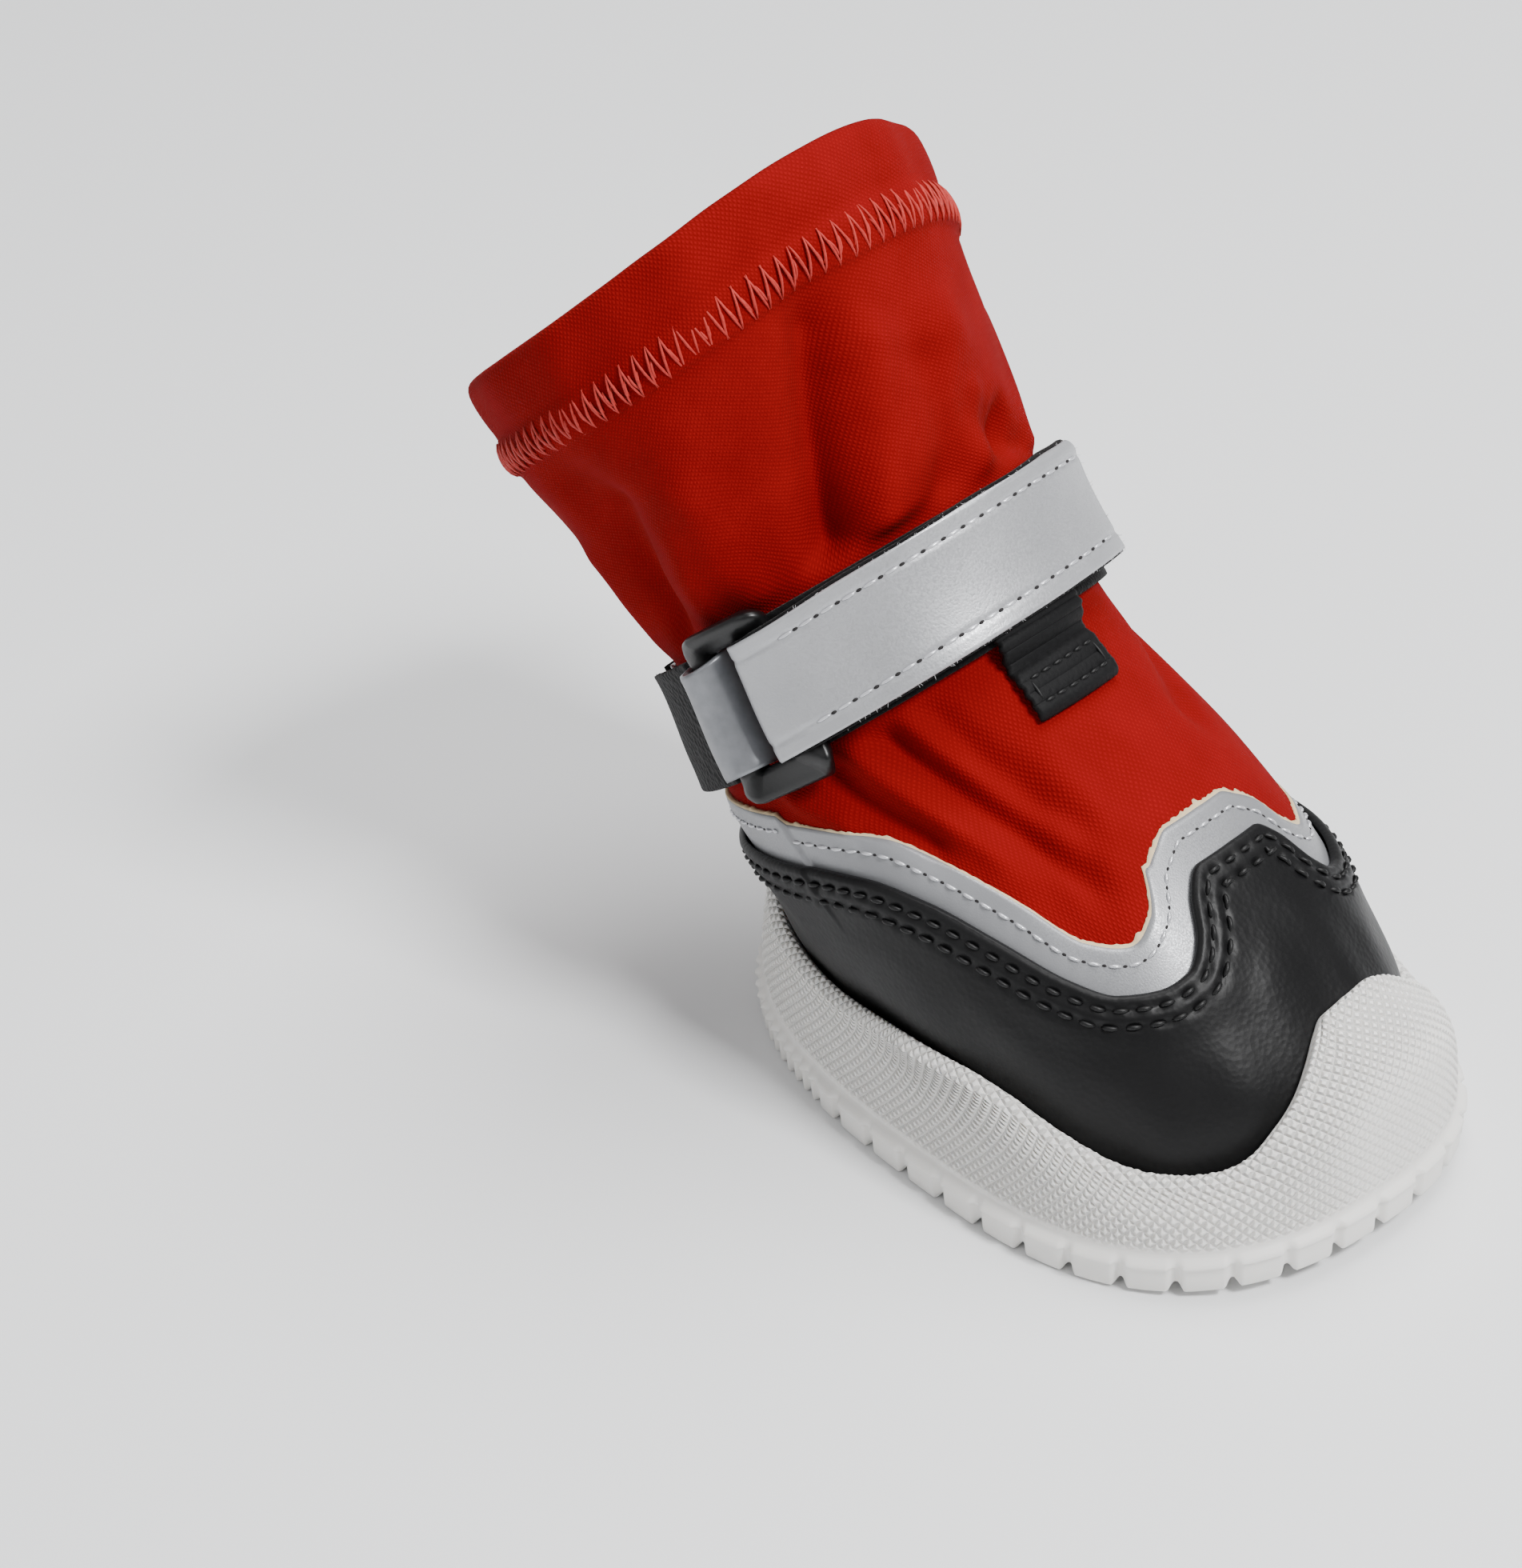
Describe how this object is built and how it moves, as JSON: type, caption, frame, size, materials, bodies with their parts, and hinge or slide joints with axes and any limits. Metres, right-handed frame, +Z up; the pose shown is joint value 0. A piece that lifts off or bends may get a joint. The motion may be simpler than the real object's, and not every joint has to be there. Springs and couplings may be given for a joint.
{
  "type": "dog bootie",
  "caption": "Dog bootie with a stretch fabric shaft, leather-look foxing, reflective trim, a moulded rubber cup sole and a hook-and-loop ankle strap through a slot ring.",
  "frame": {"origin": "centre of the flat rest spot on the tread, at floor level", "axes": "+X towards the toe, +Y towards the boot's left side, +Z up out of the floor; the shaft leans back towards -X; millimetre source, metres in the row"},
  "size_m": [0.1146, 0.0659, 0.104],
  "materials": {
    "rubber_white": "warm white moulded rubber, satin, with fine moulded knurl on the wall",
    "board_grey": "dark grey felted insole board, matte",
    "softshell_red": "red stretch softshell, fine twill face, matte",
    "leather_black": "black grained coated leather, semi-matte",
    "reflective_grey": "grey retroreflective tape, smooth satin",
    "strap_grey": "grey retroreflective face on a black woven backing",
    "plastic_black": "black moulded plastic, lightly textured",
    "loop_grey": "grey reflective woven tape",
    "hook_black": "black hook tape, rough and matte",
    "webbing_black": "black ribbed webbing, matte"
  },
  "bodies": {
    "root": {"outsole": "rubber_white", "insole": "board_grey", "upper": "softshell_red", "vamp": "leather_black", "reflective_trim": "reflective_grey", "strap": "strap_grey", "strap_ring": "plastic_black", "anchor_loop": "loop_grey", "hook_patch": "hook_black", "keeper_tab": "webbing_black"}
  },
  "joints": []
}
